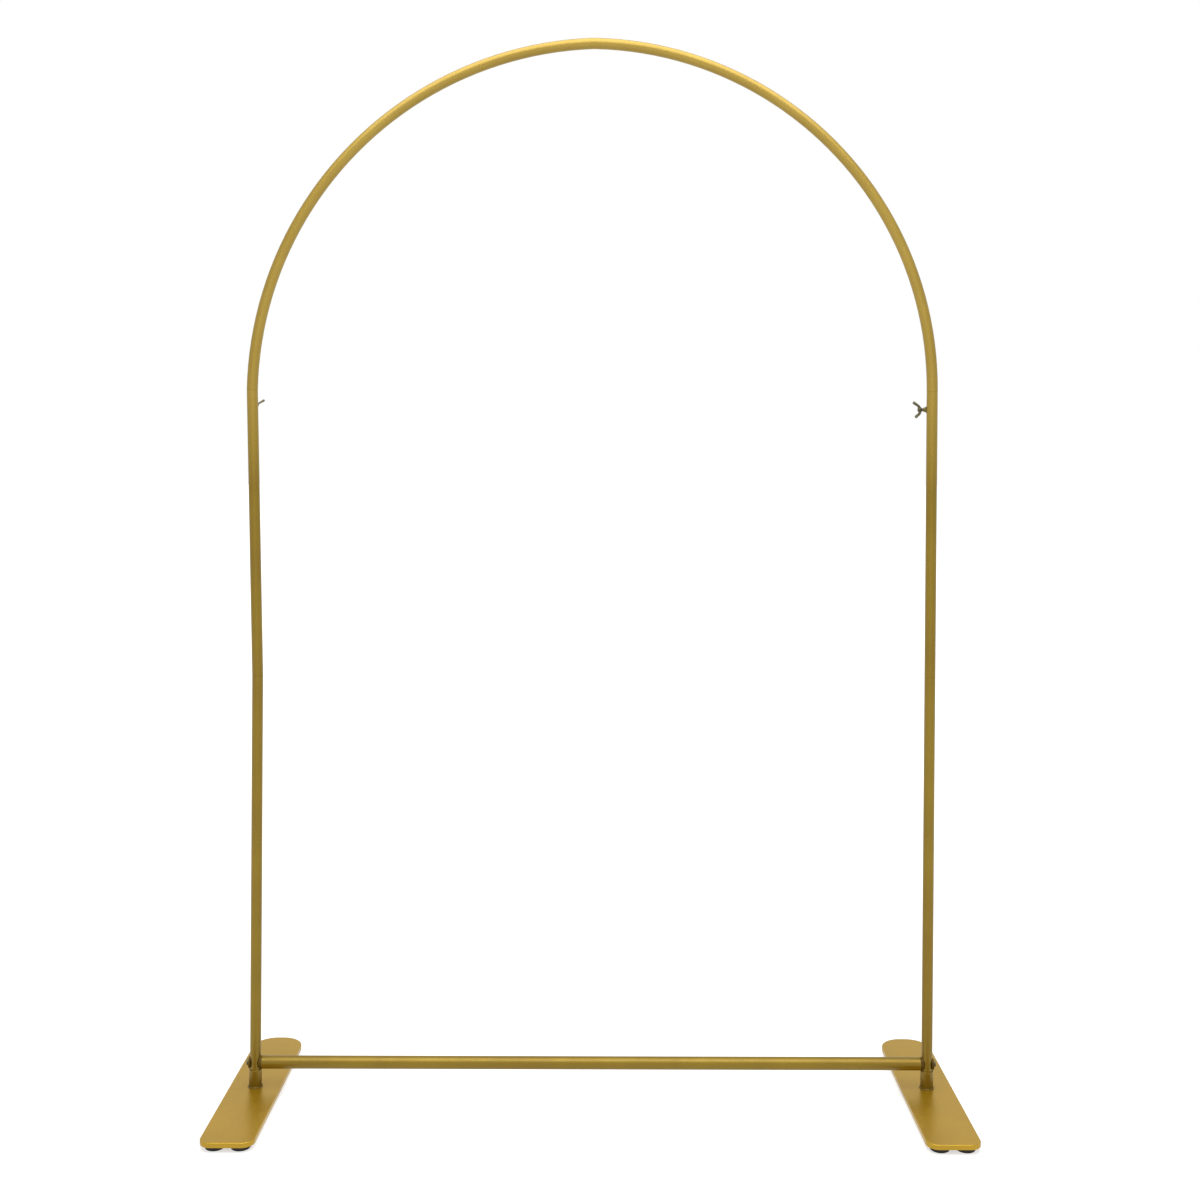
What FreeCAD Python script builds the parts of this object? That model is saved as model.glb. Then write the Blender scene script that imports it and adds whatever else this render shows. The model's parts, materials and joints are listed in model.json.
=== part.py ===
import FreeCAD, Part
import math
import os

Vector = FreeCAD.Vector

# Balloon arch stand: a round steel tube arch on two uprights, a crossbar low between them,
# and a long flat foot plate under each upright.
# Millimetres, +Z up, +X to the right and the front at -Y. The origin is on the floor,
# midway between the uprights.

LEFT = -1
RIGHT = 1
SIDE_NAMES = {LEFT: "left", RIGHT: "right"}
UP = Vector(0, 0, 1)

# Foot plates and their rubber feet
UPRIGHT_SPACING = 1182.0
PLATE_LENGTH = 420.0
PLATE_WIDTH = 90.0
PLATE_THICKNESS = 8.0
# The plates' rear corners are rounder than their front corners.
PLATE_REAR_CORNER_RADIUS = 40.0
PLATE_FRONT_CORNER_RADIUS = 20.0
PLATE_EDGE_RADIUS = 1.5
FOOT_DIAMETER = 34.0
FOOT_HEIGHT = 9.0
FOOT_TAPER = 1.0
FOOT_EDGE_RADIUS = 1.5
FOOT_SPACING = 42.0
FOOT_END_INSET = 22.5

# Tubes of the uprights and the arch
TUBE_DIAMETER = 19.0
TUBE_WALL = 1.0
LOWER_UPRIGHT_HEIGHT = 726.0
UPPER_UPRIGHT_HEIGHT = 498.0
ARCH_RISE = 601.0
END_CHAMFER = 0.3
# The left upright is a little out of true: its middle joint stands inward of its foot and its top
# joint outward, and the two halves of the arch are bent to slightly different radii.
LEFT_MIDDLE_INSET = 6.0
LEFT_TOP_OUTSET = 2.0
ARCH_RADIUS_LEFT = 615.0
ARCH_RADIUS_RIGHT = 599.0

# Reduced tube ends that slide into the next tube
SPIGOT_CLEARANCE = 0.05
MIDDLE_SPIGOT_LENGTH = 50.0
TOP_SPIGOT_LENGTH = 60.0
CROWN_SPIGOT_LENGTH = 45.0
SHOULDER_LENGTH = 4.0

# Sockets welded on the plates
SOCKET_DIAMETER = 22.0
SOCKET_CLEARANCE = 0.1
SOCKET_HEIGHT = 31.0
SOCKET_WELD_LEG = 1.8

# Crossbar, its end plugs and bolts
CROSSBAR_HEIGHT = 42.5
CROSSBAR_DIAMETER = 22.0
CROSSBAR_WALL = 1.2
PLUG_FLANGE_THICKNESS = 3.0
PLUG_WRAP = 2.0
PLUG_LENGTH = 18.0
PLUG_CLEARANCE = 0.05
OUTER_SADDLE_DIAMETER = 20.0
OUTER_SADDLE_THICKNESS = 1.5
BOLT_DIAMETER = 6.0
BOLT_REACH = 14.0
BOLT_HEAD_FLATS = 10.0
BOLT_HEAD_HEIGHT = 4.0
BOLT_HEAD_CHAMFER = 0.4
BOLT_HOLE_CLEARANCE = 0.2
BOLT_THREAD_CLEARANCE = 0.05

# Wing screws and the bosses that carry them
SCREW_DIAMETER = 6.0
SCREW_TIP_GAP = 0.3
SCREW_RUNNING_CLEARANCE = 0.05
SCREW_WALL_CLEARANCE = 0.3
BOSS_RADIUS = 4.0
BOSS_REACH = 5.5
BOSS_WELD_RADIUS = 5.0
HUB_GAP = 4.4
HUB_LENGTH = 6.0
HUB_BASE_RADIUS = 4.5
HUB_END_RADIUS = 3.8
WING_TIP_ADVANCE = 11.0
WING_TIP_OFFSET = 13.0
WING_TIP_RADIUS = 2.9
WING_ROOT_WIDTH = 5.6
WING_NECK_WIDTH = 3.2
WING_THICKNESS = 2.8
# The left upright carries its screw a little higher than the right one.
SCREW_BELOW_JOINT = {LEFT: 26.5, RIGHT: 31.0}
# How far each screw is turned backward around its upright, and about its own axis.
SCREW_TURN_BACK = {LEFT: 87.0, RIGHT: 33.0}
WING_TURN = {LEFT: 50.0, RIGHT: -25.0}

# Worked out from the sizes above
MIDDLE_JOINT_INSET = {LEFT: LEFT_MIDDLE_INSET, RIGHT: 0.0}
TOP_JOINT_INSET = {LEFT: -LEFT_TOP_OUTSET, RIGHT: 0.0}
ARCH_RADIUS = {LEFT: ARCH_RADIUS_LEFT, RIGHT: ARCH_RADIUS_RIGHT}
TUBE_RADIUS = TUBE_DIAMETER / 2
BORE_RADIUS = TUBE_RADIUS - TUBE_WALL
SPIGOT_RADIUS = BORE_RADIUS - SPIGOT_CLEARANCE
SPIGOT_BORE_RADIUS = SPIGOT_RADIUS - TUBE_WALL
PLATE_TOP = FOOT_HEIGHT + PLATE_THICKNESS
CROSSBAR_LEVEL = PLATE_TOP + CROSSBAR_HEIGHT
CROWN = Vector(0, 0, PLATE_TOP + LOWER_UPRIGHT_HEIGHT + UPPER_UPRIGHT_HEIGHT + ARCH_RISE)
HEXAGON_SIDES = 6
# A bolt head's corners are cut back at 30 degrees to its face.
CHAMFER_SPREAD = 1 / math.tan(math.radians(30))
# How far a piece is first made past a cut, and how wide the cutting block is.
CUT_MARGIN = 3.0
CUT_BLOCK = 60.0
# Edges this near a place are taken to lie there.
NEAR = 0.05


def foot_point(side):
    """The upright's axis at the top of its plate."""
    return Vector(side * UPRIGHT_SPACING / 2, 0, PLATE_TOP)


def middle_joint(side):
    """The upright's axis where its lower and upper tubes meet."""
    inset = MIDDLE_JOINT_INSET[side]
    return Vector(side * (UPRIGHT_SPACING / 2 - inset), 0, PLATE_TOP + LOWER_UPRIGHT_HEIGHT)


def top_joint(side):
    """The upright's axis where the arch meets it."""
    inset = TOP_JOINT_INSET[side]
    height = LOWER_UPRIGHT_HEIGHT + UPPER_UPRIGHT_HEIGHT
    return Vector(side * (UPRIGHT_SPACING / 2 - inset), 0, PLATE_TOP + height)


def direction(start, end):
    """The unit vector from start to end."""
    return (end - start).normalize()


def lower_axis(side):
    return direction(foot_point(side), middle_joint(side))


def upper_axis(side):
    return direction(middle_joint(side), top_joint(side))


def crossbar_point(side):
    """The upright's axis at the crossbar's height."""
    axis = lower_axis(side)
    return foot_point(side) + axis * (CROSSBAR_HEIGHT / axis.z)


def rod(radius, start, axis, length):
    """A solid round bar."""
    return Part.makeCylinder(radius, length, start, axis)


def cut_behind(shape, point, axis):
    """The shape without what lies just behind the plane at point whose normal is axis."""
    corner = Vector(-CUT_BLOCK / 2, -CUT_BLOCK / 2, -CUT_BLOCK)
    block = Part.makeBox(CUT_BLOCK, CUT_BLOCK, CUT_BLOCK, corner)
    block.Placement = FreeCAD.Placement(point, FreeCAD.Rotation(UP, axis))
    return shape.cut(block)


def ease_end(shape, end_point, inward, radius=TUBE_RADIUS):
    """The shape with the outer edge of its end broken by a small chamfer; inward points into it."""
    sleeve = rod(radius + CUT_MARGIN, end_point, inward, 2 * END_CHAMFER)
    cone = Part.makeCone(radius - END_CHAMFER, radius + END_CHAMFER, 2 * END_CHAMFER, end_point, inward)
    return shape.cut(sleeve.cut(cone))


def arch_centre(side):
    """The centre of one half of the arch, from its two ends and its radius."""
    start = top_joint(side)
    chord = CROWN - start
    towards_crown = direction(start, CROWN)
    inward = Vector(side * -towards_crown.z, 0, side * towards_crown.x)
    sagitta_leg = math.sqrt(ARCH_RADIUS[side] ** 2 - (chord.Length / 2) ** 2)
    return start + chord * 0.5 + inward * sagitta_leg


def arch_angle(side, point):
    """The angle in degrees of a point about the arch half's centre, from +X towards +Z."""
    spoke = point - arch_centre(side)
    above_level = math.degrees(math.atan2(spoke.z, side * spoke.x))
    return above_level if side == RIGHT else 180 - above_level


def arch_tangent(side, point):
    """The direction of the half's centreline at point, going up from the upright."""
    spoke = direction(arch_centre(side), point)
    return Vector(side * -spoke.z, 0, side * spoke.x)


def bent_rod(radius, side, start_angle, end_angle):
    """A solid round bar along the arch half's centreline circle."""
    centre = arch_centre(side)
    start = math.radians(start_angle)
    spoke = Vector(math.cos(start), 0, math.sin(start))
    tangent = Vector(-spoke.z, 0, spoke.x)
    ring = Part.Wire(Part.makeCircle(radius, centre + spoke * ARCH_RADIUS[side], tangent))
    return Part.Face(ring).revolve(centre, Vector(0, -1, 0), end_angle - start_angle)


def arc_degrees(side, length):
    """The angle that a length of centreline takes on the arch half."""
    return math.degrees(length / ARCH_RADIUS[side])


def base_plate(side):
    centre = foot_point(side)
    corner = Vector(centre.x - PLATE_WIDTH / 2, -PLATE_LENGTH / 2, FOOT_HEIGHT)
    plate = Part.makeBox(PLATE_WIDTH, PLATE_LENGTH, PLATE_THICKNESS, corner)
    for end, radius in ((-1, PLATE_FRONT_CORNER_RADIUS), (1, PLATE_REAR_CORNER_RADIUS)):
        end_y = end * PLATE_LENGTH / 2
        corner_edges = [
            edge for edge in plate.Edges
            if edge.BoundBox.XLength < NEAR and abs(edge.CenterOfMass.y - end_y) < NEAR
        ]
        plate = plate.makeFillet(radius, corner_edges)
    top_edges = [edge for edge in plate.Edges if abs(edge.CenterOfMass.z - PLATE_TOP) < NEAR]
    return plate.makeFillet(PLATE_EDGE_RADIUS, top_edges)


def rubber_foot(side, across, along):
    """A round foot under a plate: across is -1 or 1 in X from its axis, along is -1 or 1 in Y."""
    x = foot_point(side).x + across * FOOT_SPACING / 2
    y = along * (PLATE_LENGTH / 2 - FOOT_END_INSET)
    radius = FOOT_DIAMETER / 2
    foot = Part.makeCone(radius - FOOT_TAPER, radius, FOOT_HEIGHT, Vector(x, y, 0))
    bottom_edges = [edge for edge in foot.Edges if edge.BoundBox.ZMax < NEAR]
    return foot.makeFillet(FOOT_EDGE_RADIUS, bottom_edges)


def post_socket(side):
    """The short outer tube welded to the plate, with its fillet weld."""
    axis = lower_axis(side)
    start = foot_point(side) - axis * CUT_MARGIN
    outer_radius = SOCKET_DIAMETER / 2
    weld_radius = outer_radius + SOCKET_WELD_LEG
    ring = rod(outer_radius, start, axis, SOCKET_HEIGHT + CUT_MARGIN)
    weld = Part.makeCone(weld_radius, outer_radius, SOCKET_WELD_LEG, foot_point(side), axis)
    bore = rod(TUBE_RADIUS + SOCKET_CLEARANCE, start, axis, SOCKET_HEIGHT + 2 * CUT_MARGIN)
    socket = cut_behind(ring.fuse(weld).cut(bore), foot_point(side), UP)
    return ease_end(socket, foot_point(side) + axis * SOCKET_HEIGHT, axis * -1, outer_radius)


def lower_upright(side):
    """The tube from the plate to the middle joint, drilled for the crossbar's bolt."""
    axis = lower_axis(side)
    start = foot_point(side) - axis * CUT_MARGIN
    length = (middle_joint(side) - start).Length
    tube = rod(TUBE_RADIUS, start, axis, length).cut(rod(BORE_RADIUS, start, axis, length))
    tube = ease_end(cut_behind(tube, foot_point(side), UP), middle_joint(side), axis * -1)
    hole_start = crossbar_point(side) - Vector(TUBE_DIAMETER, 0, 0)
    hole = rod(BOLT_DIAMETER / 2 + BOLT_HOLE_CLEARANCE, hole_start, Vector(1, 0, 0), 2 * TUBE_DIAMETER)
    return tube.cut(hole)


def screw_point(side):
    """The upright's axis at the height of its wing screw."""
    return top_joint(side) - upper_axis(side) * SCREW_BELOW_JOINT[side]


def place_screw(shape, side, wing_turn=0.0):
    """Moves a piece made along +X from the tube's axis to the wing screw's place."""
    facing = 0.0 if side == LEFT else 180.0
    turned_back = facing - side * SCREW_TURN_BACK[side]
    about_itself = FreeCAD.Rotation(Vector(1, 0, 0), wing_turn)
    around_tube = FreeCAD.Rotation(UP, turned_back)
    leaning = FreeCAD.Rotation(UP, upper_axis(side))
    placed = shape.copy()
    placed.Placement = FreeCAD.Placement(screw_point(side), leaning * around_tube * about_itself)
    return placed


def upper_upright(side):
    """The tube from the middle joint to the arch, with its reduced lower end in the tube below."""
    joint = middle_joint(side)
    axis = upper_axis(side)
    length = (top_joint(side) - joint).Length
    body = rod(TUBE_RADIUS, joint - axis * CUT_MARGIN, axis, length + CUT_MARGIN)
    body = ease_end(cut_behind(body, joint, lower_axis(side)), joint, lower_axis(side))
    body = ease_end(body, top_joint(side), axis * -1)
    spigot = rod(SPIGOT_RADIUS, joint, lower_axis(side) * -1, MIDDLE_SPIGOT_LENGTH)
    narrow_bore = rod(SPIGOT_BORE_RADIUS, joint, lower_axis(side) * -1, MIDDLE_SPIGOT_LENGTH)
    neck_bore = rod(SPIGOT_BORE_RADIUS, joint, axis, SHOULDER_LENGTH)
    wide_bore = rod(BORE_RADIUS, joint + axis * SHOULDER_LENGTH, axis, length)
    tube = body.fuse(spigot).cut(narrow_bore.fuse(neck_bore).fuse(wide_bore))
    hole_radius = SCREW_DIAMETER / 2 + SCREW_WALL_CLEARANCE
    screw_hole = rod(hole_radius, Vector(0, 0, 0), Vector(1, 0, 0), TUBE_DIAMETER)
    return tube.cut(place_screw(screw_hole, side))


def arch_half(side):
    """One half of the arch: a bent tube whose reduced lower end sits in the upright's top."""
    joint = top_joint(side)
    down = upper_axis(side) * -1
    foot_angle = arch_angle(side, joint)
    crown_angle = arch_angle(side, CROWN)
    margin = side * arc_degrees(side, CUT_MARGIN)
    shoulder = side * arc_degrees(side, SHOULDER_LENGTH)
    body = bent_rod(TUBE_RADIUS, side, foot_angle - margin, crown_angle)
    body = ease_end(cut_behind(body, joint, upper_axis(side)), joint, upper_axis(side))
    spigot = rod(SPIGOT_RADIUS, joint, down, TOP_SPIGOT_LENGTH)
    narrow_bore = rod(SPIGOT_BORE_RADIUS, joint, down, TOP_SPIGOT_LENGTH)
    neck_bore = bent_rod(SPIGOT_BORE_RADIUS, side, foot_angle, foot_angle + shoulder)
    wide_bore = bent_rod(BORE_RADIUS, side, foot_angle + shoulder, crown_angle + margin)
    return body.fuse(spigot).cut(narrow_bore.fuse(neck_bore).fuse(wide_bore))


def arch_left():
    """The left half, which ends in a plain open end at the crown."""
    return arch_half(LEFT)


def arch_right():
    """The right half, whose reduced crown end slides into the left half along its bend."""
    crown_angle = arch_angle(RIGHT, CROWN)
    margin = arc_degrees(RIGHT, CUT_MARGIN)
    shoulder = arc_degrees(RIGHT, SHOULDER_LENGTH)
    plug = bent_rod(TUBE_RADIUS, RIGHT, crown_angle - shoulder, crown_angle + margin)
    plug = cut_behind(plug, CROWN, arch_tangent(LEFT, CROWN))
    body = cut_behind(arch_half(RIGHT), CROWN, arch_tangent(LEFT, CROWN)).fuse(plug)
    spigot_end = arch_angle(LEFT, CROWN) + arc_degrees(LEFT, CROWN_SPIGOT_LENGTH)
    spigot = bent_rod(SPIGOT_RADIUS, LEFT, arch_angle(LEFT, CROWN), spigot_end)
    narrow_bore = bent_rod(SPIGOT_BORE_RADIUS, LEFT, arch_angle(LEFT, CROWN), spigot_end)
    neck_bore = bent_rod(SPIGOT_BORE_RADIUS, RIGHT, crown_angle - 2 * shoulder, crown_angle)
    return body.fuse(spigot).cut(narrow_bore.fuse(neck_bore))


def inner_face(side):
    """Where the crossbar's steel tube ends, beside the upright."""
    return crossbar_point(side).x - side * (TUBE_RADIUS + PLUG_FLANGE_THICKNESS)


def crossbar():
    start = Vector(inner_face(LEFT), 0, CROSSBAR_LEVEL)
    length = inner_face(RIGHT) - inner_face(LEFT)
    radius = CROSSBAR_DIAMETER / 2
    bar = rod(radius, start, Vector(1, 0, 0), length)
    return bar.cut(rod(radius - CROSSBAR_WALL, start, Vector(1, 0, 0), length))


def upright_volume(side):
    """The lower upright's outside as a solid bar, for pieces that fit round it."""
    return rod(TUBE_RADIUS, foot_point(side), lower_axis(side), LOWER_UPRIGHT_HEIGHT)


def end_plug(side):
    """The plug in the crossbar's end, whose flange is hollowed to sit on the round upright."""
    inward = Vector(-side, 0, 0)
    centre = crossbar_point(side)
    flange_start = centre + inward * (TUBE_RADIUS - PLUG_WRAP)
    flange = rod(CROSSBAR_DIAMETER / 2, flange_start, inward, PLUG_WRAP + PLUG_FLANGE_THICKNESS)
    stem_radius = CROSSBAR_DIAMETER / 2 - CROSSBAR_WALL - PLUG_CLEARANCE
    stem_start = Vector(inner_face(side), 0, CROSSBAR_LEVEL)
    stem = rod(stem_radius, stem_start, inward, PLUG_LENGTH)
    bore = rod(BOLT_DIAMETER / 2 + BOLT_THREAD_CLEARANCE, centre, inward, CUT_BLOCK)
    return flange.fuse(stem).cut(upright_volume(side)).cut(bore)


def outer_saddle(side):
    """The round washer between the bolt's head and the upright, hollowed to sit on the tube."""
    outward = Vector(side, 0, 0)
    centre = crossbar_point(side)
    start = centre + outward * (TUBE_RADIUS - PLUG_WRAP)
    washer = rod(OUTER_SADDLE_DIAMETER / 2, start, outward, PLUG_WRAP + OUTER_SADDLE_THICKNESS)
    bore = rod(BOLT_DIAMETER / 2 + BOLT_HOLE_CLEARANCE, centre, outward, CUT_BLOCK)
    return washer.cut(upright_volume(side)).cut(bore)


def hexagon_head(start, axis, flats, height):
    """A hexagonal bolt head with the corners of its outer face cut back."""
    corner_radius = flats / math.sqrt(3)
    corners = []
    for index in range(HEXAGON_SIDES + 1):
        angle = 2 * math.pi * index / HEXAGON_SIDES
        corners.append(Vector(corner_radius * math.cos(angle), corner_radius * math.sin(angle), 0))
    prism = Part.Face(Part.makePolygon(corners)).extrude(UP * height)
    face_radius = flats / 2 - BOLT_HEAD_CHAMFER
    head = prism.common(Part.makeCone(face_radius + height * CHAMFER_SPREAD, face_radius, height))
    head.Placement = FreeCAD.Placement(start, FreeCAD.Rotation(UP, axis))
    return head


def crossbar_bolt(side):
    outward = Vector(side, 0, 0)
    seat = crossbar_point(side) + outward * (TUBE_RADIUS + OUTER_SADDLE_THICKNESS)
    tip = inner_face(side) - side * BOLT_REACH
    shank = rod(BOLT_DIAMETER / 2, seat, outward * -1, abs(seat.x - tip))
    return shank.fuse(hexagon_head(seat, outward, BOLT_HEAD_FLATS, BOLT_HEAD_HEIGHT))


def screw_boss(side):
    """The round threaded boss on the upright, with the hollow weld round its foot."""
    along = Vector(1, 0, 0)
    tube = rod(TUBE_RADIUS, Vector(0, 0, -CUT_BLOCK / 2), UP, CUT_BLOCK)
    # The tube's own seam line is turned away from the boss.
    tube.rotate(Vector(0, 0, 0), UP, 180)
    joined = tube.fuse(rod(BOSS_RADIUS, Vector(0, 0, 0), along, TUBE_RADIUS + BOSS_REACH))
    foot_edges = []
    for edge in joined.Edges:
        box = edge.BoundBox
        if box.XMax < TUBE_RADIUS + NEAR and box.ZMax < BOSS_RADIUS + NEAR and box.ZMin > -BOSS_RADIUS - NEAR:
            foot_edges.append(edge)
    welded = joined.makeFillet(BOSS_WELD_RADIUS, foot_edges)
    bore = rod(SCREW_DIAMETER / 2 + SCREW_RUNNING_CLEARANCE, Vector(0, 0, 0), along, CUT_BLOCK)
    return place_screw(welded.cut(tube).cut(bore), side)


def wing_arm(hub_centre, tip_side):
    """One wing, a flat arm from the hub out to a round tip, lying in the XZ plane."""
    reach = math.hypot(WING_TIP_ADVANCE, WING_TIP_OFFSET)
    root = WING_ROOT_WIDTH / 2
    neck = WING_NECK_WIDTH / 2
    start = Vector(0, -WING_THICKNESS / 2, 0)
    across = Vector(0, 1, 0)
    corners = [Vector(0, 0, -root), Vector(reach, 0, -neck), Vector(reach, 0, neck), Vector(0, 0, root)]
    outline = Part.makePolygon([start + corner for corner in corners + corners[:1]])
    arm = Part.Face(outline).extrude(across * WING_THICKNESS)
    tip = rod(WING_TIP_RADIUS, start + Vector(reach, 0, 0), across, WING_THICKNESS)
    wing = arm.fuse(tip)
    outward = Vector(WING_TIP_ADVANCE, 0, tip_side * WING_TIP_OFFSET)
    wing.Placement = FreeCAD.Placement(hub_centre, FreeCAD.Rotation(Vector(1, 0, 0), outward))
    return wing


def wing_screw(side):
    """The wing screw: a plain shank for the thread, a hub and two wings."""
    along = Vector(1, 0, 0)
    tip = SPIGOT_RADIUS + SCREW_TIP_GAP
    hub_start = TUBE_RADIUS + BOSS_REACH + HUB_GAP
    shank = rod(SCREW_DIAMETER / 2, along * tip, along, hub_start + HUB_LENGTH / 2 - tip)
    hub = Part.makeCone(HUB_BASE_RADIUS, HUB_END_RADIUS, HUB_LENGTH, along * hub_start, along)
    screw = shank.fuse(hub)
    hub_centre = along * (hub_start + HUB_LENGTH / 2)
    for tip_side in (-1, 1):
        screw = screw.fuse(wing_arm(hub_centre, tip_side))
    return place_screw(screw, side, WING_TURN[side])


def build_nodes():
    """Every piece of the stand, by its node's name."""
    nodes = {"crossbar": crossbar(), "arch_left": arch_left(), "arch_right": arch_right()}
    makers = {
        "base_plate": base_plate,
        "post_socket": post_socket,
        "lower_upright": lower_upright,
        "upper_upright": upper_upright,
        "crossbar_plug": end_plug,
        "outer_saddle": outer_saddle,
        "crossbar_bolt": crossbar_bolt,
        "screw_boss": screw_boss,
        "wing_screw": wing_screw,
    }
    for side, side_name in SIDE_NAMES.items():
        for piece_name, make in makers.items():
            nodes[f"{piece_name}_{side_name}"] = make(side)
        for end_name, along in (("front", -1), ("rear", 1)):
            for place_name, across in (("outer", side), ("inner", -side)):
                nodes[f"foot_{side_name}_{end_name}_{place_name}"] = rubber_foot(side, across, along)
    return nodes


os.makedirs("parts", exist_ok=True)
for node_name, shape in build_nodes().items():
    shape.exportStep(f"parts/{node_name}.step")
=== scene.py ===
"""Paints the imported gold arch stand, models its small fittings and sets its studio."""

import json
import math
import random

import bmesh
import bpy
from mathutils import Matrix, Vector


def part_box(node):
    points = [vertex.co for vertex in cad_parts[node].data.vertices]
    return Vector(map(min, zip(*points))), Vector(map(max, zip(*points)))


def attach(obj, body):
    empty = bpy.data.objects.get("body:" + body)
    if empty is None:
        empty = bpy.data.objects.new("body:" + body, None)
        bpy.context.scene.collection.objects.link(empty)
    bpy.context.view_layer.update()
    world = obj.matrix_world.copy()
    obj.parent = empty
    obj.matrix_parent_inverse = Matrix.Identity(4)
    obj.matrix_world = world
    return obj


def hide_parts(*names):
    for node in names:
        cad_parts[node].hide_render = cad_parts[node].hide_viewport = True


bl_info = {
    "name": "Balloon Arch Stand",
    "version": (1, 0, 0),
    "blender": (4, 5, 0),
    "location": "3D View > Sidebar > Arch Stand",
    "description": "Paints and details a gold tube arch stand and sets its studio",
    "category": "Object",
}

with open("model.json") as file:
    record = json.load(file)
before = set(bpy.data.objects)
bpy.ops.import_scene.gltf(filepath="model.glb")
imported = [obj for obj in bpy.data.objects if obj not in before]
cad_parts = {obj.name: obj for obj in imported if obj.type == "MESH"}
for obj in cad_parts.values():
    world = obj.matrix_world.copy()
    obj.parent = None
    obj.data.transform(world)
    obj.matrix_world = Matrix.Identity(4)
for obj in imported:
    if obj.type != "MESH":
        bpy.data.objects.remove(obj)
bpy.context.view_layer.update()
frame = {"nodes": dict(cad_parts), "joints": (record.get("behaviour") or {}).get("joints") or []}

MM = 0.001
SIDES = {"left": -1, "right": 1}
STAND_BODY = "stand"

# The curve that turns the levels of a screen colour into linear light.
SCREEN_WHITE = 255
STRAIGHT_PART_END = 0.04045
STRAIGHT_PART_SLOPE = 12.92
CURVE_OFFSET = 0.055
CURVE_POWER = 2.4


def screen_colour(red, green, blue):
    """The linear colour of a screen colour given from 0 to 255."""
    linear = []
    for level in (red, green, blue):
        share = level / SCREEN_WHITE
        if share <= STRAIGHT_PART_END:
            linear.append(share / STRAIGHT_PART_SLOPE)
        else:
            linear.append(((share + CURVE_OFFSET) / (1 + CURVE_OFFSET)) ** CURVE_POWER)
    return linear


def colour_property(name, description, red, green, blue):
    """A colour that the panel offers, with a screen colour as its default."""
    return bpy.props.FloatVectorProperty(
        name=name,
        description=description,
        subtype="COLOR",
        size=3,
        min=0,
        max=1,
        default=screen_colour(red, green, blue),
    )


def length_property(name, description, millimetres):
    """A length that the panel offers, with its default in millimetres."""
    return bpy.props.FloatProperty(
        name=name,
        description=description,
        unit="LENGTH",
        precision=5,
        min=0,
        default=millimetres * MM,
    )


def share_property(name, description, default):
    """A number from 0 to 1 that the panel offers."""
    return bpy.props.FloatProperty(
        name=name, description=description, subtype="FACTOR", min=0, max=1, default=default
    )


class ArchStandFinishes(bpy.types.PropertyGroup):
    """Colours and gloss of the stand's paint, metal, plastic and rubber"""

    tube_gold: colour_property("Tube gold", "Paint on the tubes", 129, 105, 13)
    tube_gold_deep: colour_property("Deep tube gold", "The paint where it is thicker", 122, 97, 8)
    # The arch's gold is the tubes' paint made lighter: painted light from above.
    arch_top_lit_gold: colour_property("Arch gold", "The lighter paint on the arch", 156, 130, 50)
    arch_top_lit_gold_deep: colour_property(
        "Deep arch gold", "The arch's paint where it is thicker", 148, 122, 42
    )
    # The plates' own gold, made lighter than the tubes' gold as painted light on their upward
    # faces.
    plate_top_lit_gold: colour_property("Plate gold", "Paint on the foot plates", 174, 137, 24)
    plate_top_lit_gold_deep: colour_property(
        "Deep plate gold", "Darker clouds in the plates' paint", 166, 131, 19
    )
    # The welds' gold is the tubes' paint made darker: painted shade in the corner at a socket's
    # foot.
    weld_shaded_gold: colour_property("Weld gold", "Paint over the welds", 114, 91, 20)
    weld_shaded_gold_deep: colour_property(
        "Deep weld gold", "Darker clouds in the welds' paint", 101, 79, 14
    )
    # The bosses' gold is the tubes' paint made darker: painted shade and a painted dark reflection
    # from the hubs and wings.
    boss_shaded_gold: colour_property("Boss gold", "Paint on the bosses of the wing screws", 98, 87, 34)
    boss_shaded_gold_deep: colour_property("Deep boss gold", "Darker paint on the bosses", 84, 74, 25)
    edge_gold: colour_property(
        "Edge gold", "The tint of what the paint reflects at a flat angle", 205, 196, 168
    )
    zinc: colour_property("Dark zinc", "Plating on the bolts and wing screws", 112, 108, 84)
    zinc_deep: colour_property("Stained zinc", "Darker patches of the plating", 72, 67, 46)
    plastic: colour_property("Brown-black plastic", "The crossbar's end pieces", 74, 55, 10)
    rubber: colour_property("Black rubber", "The feet under the plates", 9, 9, 8)
    # Painted shade: how much darker a socket's paint is painted toward its foot, by the weld.
    socket_foot_shade: share_property("Weld stain", "How dark a socket turns beside its weld", 0.2)
    metallic: share_property("Metallic share", "How much the gold paint shines like metal", 0.65)
    tube_roughness: share_property("Tube roughness", "Roughness of the tubes' paint", 0.43)
    plate_roughness: share_property("Plate roughness", "Roughness of the plates' paint", 0.33)


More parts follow.
